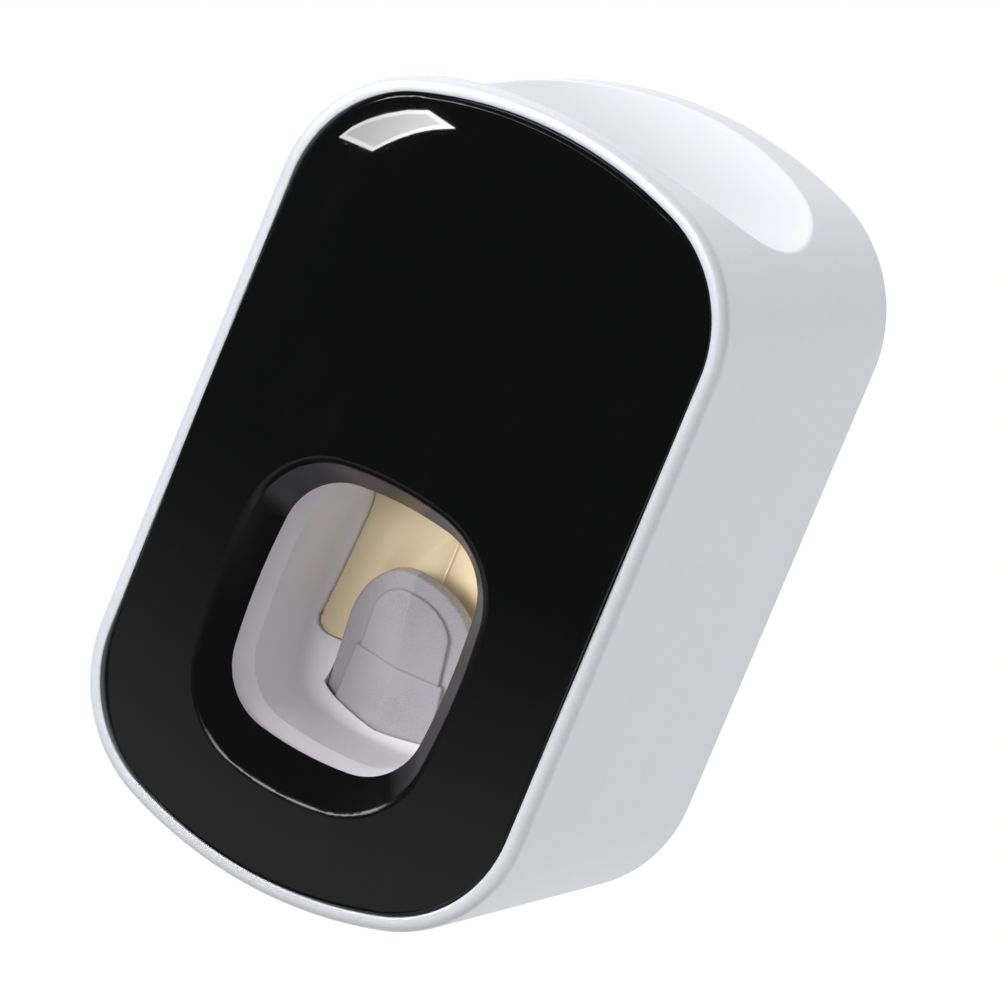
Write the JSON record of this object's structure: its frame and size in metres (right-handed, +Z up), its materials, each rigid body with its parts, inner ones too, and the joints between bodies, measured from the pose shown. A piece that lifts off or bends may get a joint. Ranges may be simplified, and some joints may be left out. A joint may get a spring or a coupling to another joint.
{
  "type": "toothpaste dispenser",
  "caption": "Wall-hung toothpaste dispenser: bowed silver shell, gloss black front with a flared brush window, push lever and soft pump inside, dished tube socket on top.",
  "frame": {"origin": "on the wall face, the back of the adhesive pad, at the middle of the housing's width and height", "axes": "+Z up along the housing, +X to the right seen from the front, +Y into the wall, so the front faces -Y"},
  "size_m": [0.066, 0.0612, 0.1088],
  "materials": {
    "silver_shell": "satin silver moulded shell",
    "gloss_black": "piano black, mirror gloss",
    "lilac_liner": "smooth grey with a lilac cast",
    "lilac_lever": "smooth grey with a lilac cast",
    "tan_silicone": "matte tan silicone",
    "soft_white": "translucent white silicone",
    "steel": "plain steel",
    "frame_white": "natural moulded plastic",
    "socket_white": "white moulded ring",
    "cover_grey": "fine moulded grain",
    "plate_white": "fine moulded grain",
    "foam_tape": "closed-cell foam tape"
  },
  "bodies": {
    "wall_mount": {"wall_plate": "plate_white", "adhesive_pad": "foam_tape"},
    "lever": {"push_lever": "lilac_lever", "squeeze_pad": "soft_white"},
    "panel": {"front_panel": "gloss_black"},
    "dispenser": {"housing": "silver_shell", "brush_chamber": "lilac_liner", "chamber_screws": "steel", "lever_pin": "steel", "return_spring": "steel", "pump_bulb": "tan_silicone", "neck_clip": "steel", "pump_frame": "frame_white", "pump_frame_screws": "steel", "feed_duct": "frame_white", "duct_screws": "steel", "inlet_valve": "soft_white", "socket_ring": "socket_white", "inlet_seal": "soft_white", "outlet_nozzle": "frame_white", "nozzle_valve": "tan_silicone", "back_cover": "cover_grey", "back_cover_screws": "steel"}
  },
  "joints": [
    {"name": "hook_lift", "type": "slide", "parent": "wall_mount", "child": "dispenser", "axis": [0, 0, 1], "range_m": [0, 0.007]},
    {"name": "lever_push", "type": "hinge", "parent": "dispenser", "child": "lever", "pos_m": [0, -0.0299, -0.0414], "axis": [-1, 0, 0], "range_deg": [0, 16], "stiffness_Nm_per_rad": 0.12, "springref_deg": -8.59, "deforming": ["pump_bulb", "return_spring"]},
    {"name": "panel_pull", "type": "slide", "parent": "dispenser", "child": "panel", "axis": [0, -1, 0], "range_m": [0, 0.03]}
  ]
}
